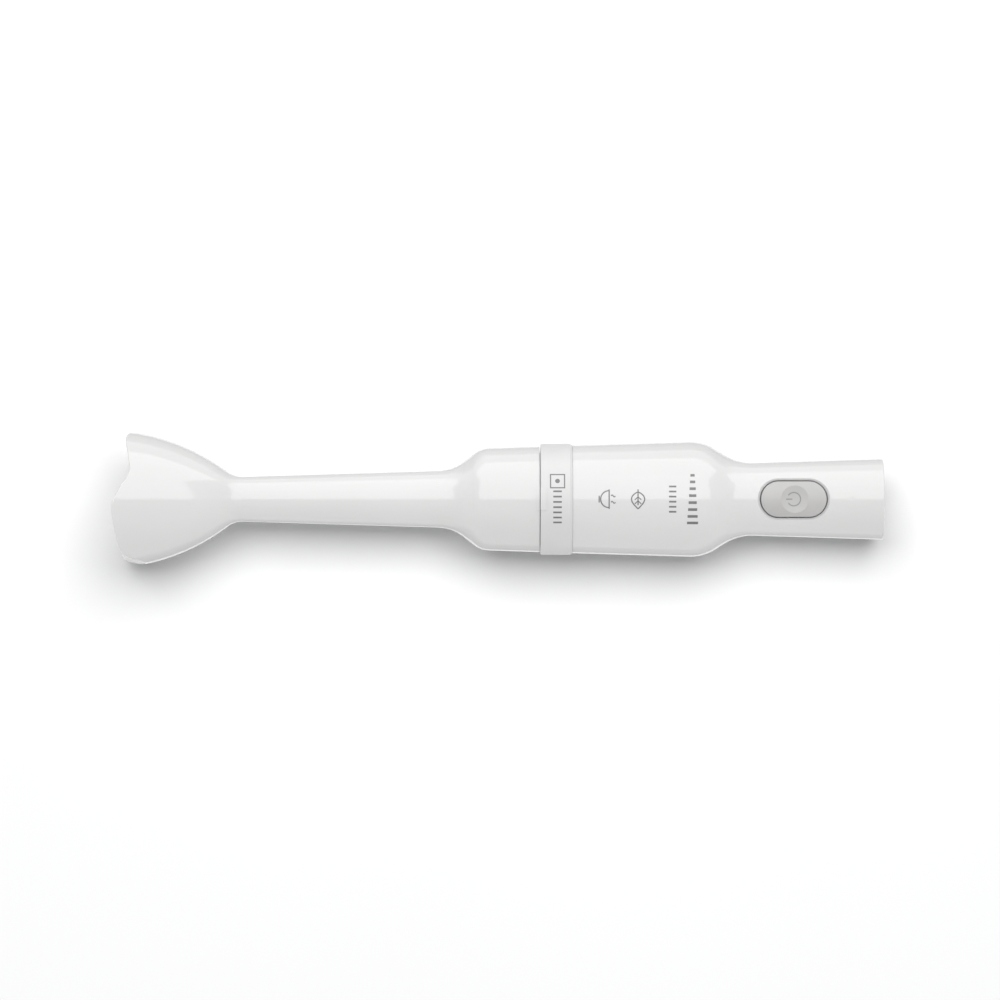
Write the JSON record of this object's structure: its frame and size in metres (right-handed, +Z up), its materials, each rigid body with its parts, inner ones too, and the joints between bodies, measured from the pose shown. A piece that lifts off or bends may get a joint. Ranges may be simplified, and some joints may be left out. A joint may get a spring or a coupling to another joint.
{
  "type": "immersion blender",
  "caption": "Stick hand blender: round motor handle with push button and matt collar, pull-off blending bar with a flared bell, swirl-cut rim and driven blade.",
  "frame": {"origin": "centre of the object's box on the plane under the bell, with the object lying on its back and its button up", "axes": "+X along the blender's axis from the bell to the handle's end, +Z up and out through the power button, +Y to the left of someone looking from the bell along +X"},
  "size_m": [0.3645, 0.0625, 0.0649],
  "materials": {
    "gloss_white": "glossy",
    "matt_white": "satin",
    "button_grey": "satin",
    "inner_white": "moulded",
    "natural_grey": "moulded",
    "black_plastic": "moulded",
    "phenolic": "moulded",
    "carbon": "matt",
    "soft_black": "matt",
    "seal_rubber": "matt",
    "stainless": "brushed",
    "bright_steel": "polished",
    "zinc_steel": "zinc plated",
    "lamination": "dark",
    "copper_winding": "enamelled",
    "sintered_bronze": "sintered",
    "board_green": "coated",
    "capacitor_yellow": "glossy",
    "ferrite": "matt",
    "lead_red": "satin"
  },
  "bodies": {
    "motor_unit": {"housing_front": "gloss_white", "housing_back": "gloss_white", "housing_screws": "zinc_steel", "end_cap": "gloss_white", "cord_gland": "seal_rubber", "collar_ring": "matt_white", "coupling_neck": "inner_white", "latch_spring": "bright_steel", "button_springs": "bright_steel", "switch_body": "black_plastic", "switch_tray": "natural_grey", "circuit_board": "board_green", "noise_capacitor": "capacitor_yellow", "noise_choke": "ferrite", "rectifier_diodes": "black_plastic", "motor_leads": "lead_red", "stator_core": "lamination", "field_coils": "copper_winding", "lower_bracket": "black_plastic", "upper_bracket": "black_plastic", "motor_bolts": "zinc_steel", "motor_damper": "soft_black", "lower_bearing": "bright_steel", "upper_bearing": "bright_steel", "brush_holders": "sintered_bronze", "carbon_brushes": "carbon", "brush_springs": "bright_steel"},
    "power_button": {"power_button": "button_grey"},
    "switch_plunger": {"switch_plunger": "lead_red"},
    "release_button": {"release_button": "button_grey"},
    "rotor": {"motor_shaft": "bright_steel", "armature_core": "lamination", "armature_windings": "copper_winding", "commutator": "sintered_bronze", "cooling_fan": "black_plastic", "drive_dog": "zinc_steel"},
    "bar": {"bar_shell": "gloss_white", "bar_head": "inner_white", "upper_bush": "sintered_bronze", "lower_bush": "sintered_bronze", "blade_seal": "soft_black", "thrust_washers": "natural_grey"},
    "blade_drive": {"drive_shaft": "stainless", "drive_socket": "black_plastic", "blade_hub": "inner_white", "blade": "stainless", "blade_rivet": "stainless", "shaft_clips": "zinc_steel"}
  },
  "joints": [
    {"name": "power_press", "type": "slide", "parent": "motor_unit", "child": "power_button", "axis": [0, 0, -1], "range_m": [0, 0.0015], "stiffness_N_per_m": 800, "springref_m": -0.0015, "deforming": ["button_springs"]},
    {"name": "switch_press", "type": "slide", "parent": "motor_unit", "child": "switch_plunger", "axis": [0, 0, -1], "range_m": [0, 0.0015]},
    {"name": "release_press", "type": "slide", "parent": "motor_unit", "child": "release_button", "axis": [0, 0, 1], "range_m": [0, 0.0015], "stiffness_N_per_m": 1200, "springref_m": -0.001, "deforming": ["latch_spring"]},
    {"name": "bar_pull", "type": "slide", "parent": "motor_unit", "child": "bar", "axis": [-1, 0, 0], "range_m": [0, 0.045], "deforming": ["latch_spring"]},
    {"name": "rotor_spin", "type": "hinge", "parent": "motor_unit", "child": "rotor", "pos_m": [0, 0, 0.03226], "axis": [1, 0, 0], "continuous": true},
    {"name": "blade_spin", "type": "hinge", "parent": "bar", "child": "blade_drive", "pos_m": [0, 0, 0.03226], "axis": [1, 0, 0], "continuous": true}
  ],
  "couplings": [
    {"joint": "switch_press", "follows": "power_press", "ratio": 1},
    {"joint": "blade_spin", "follows": "rotor_spin", "ratio": 1}
  ]
}
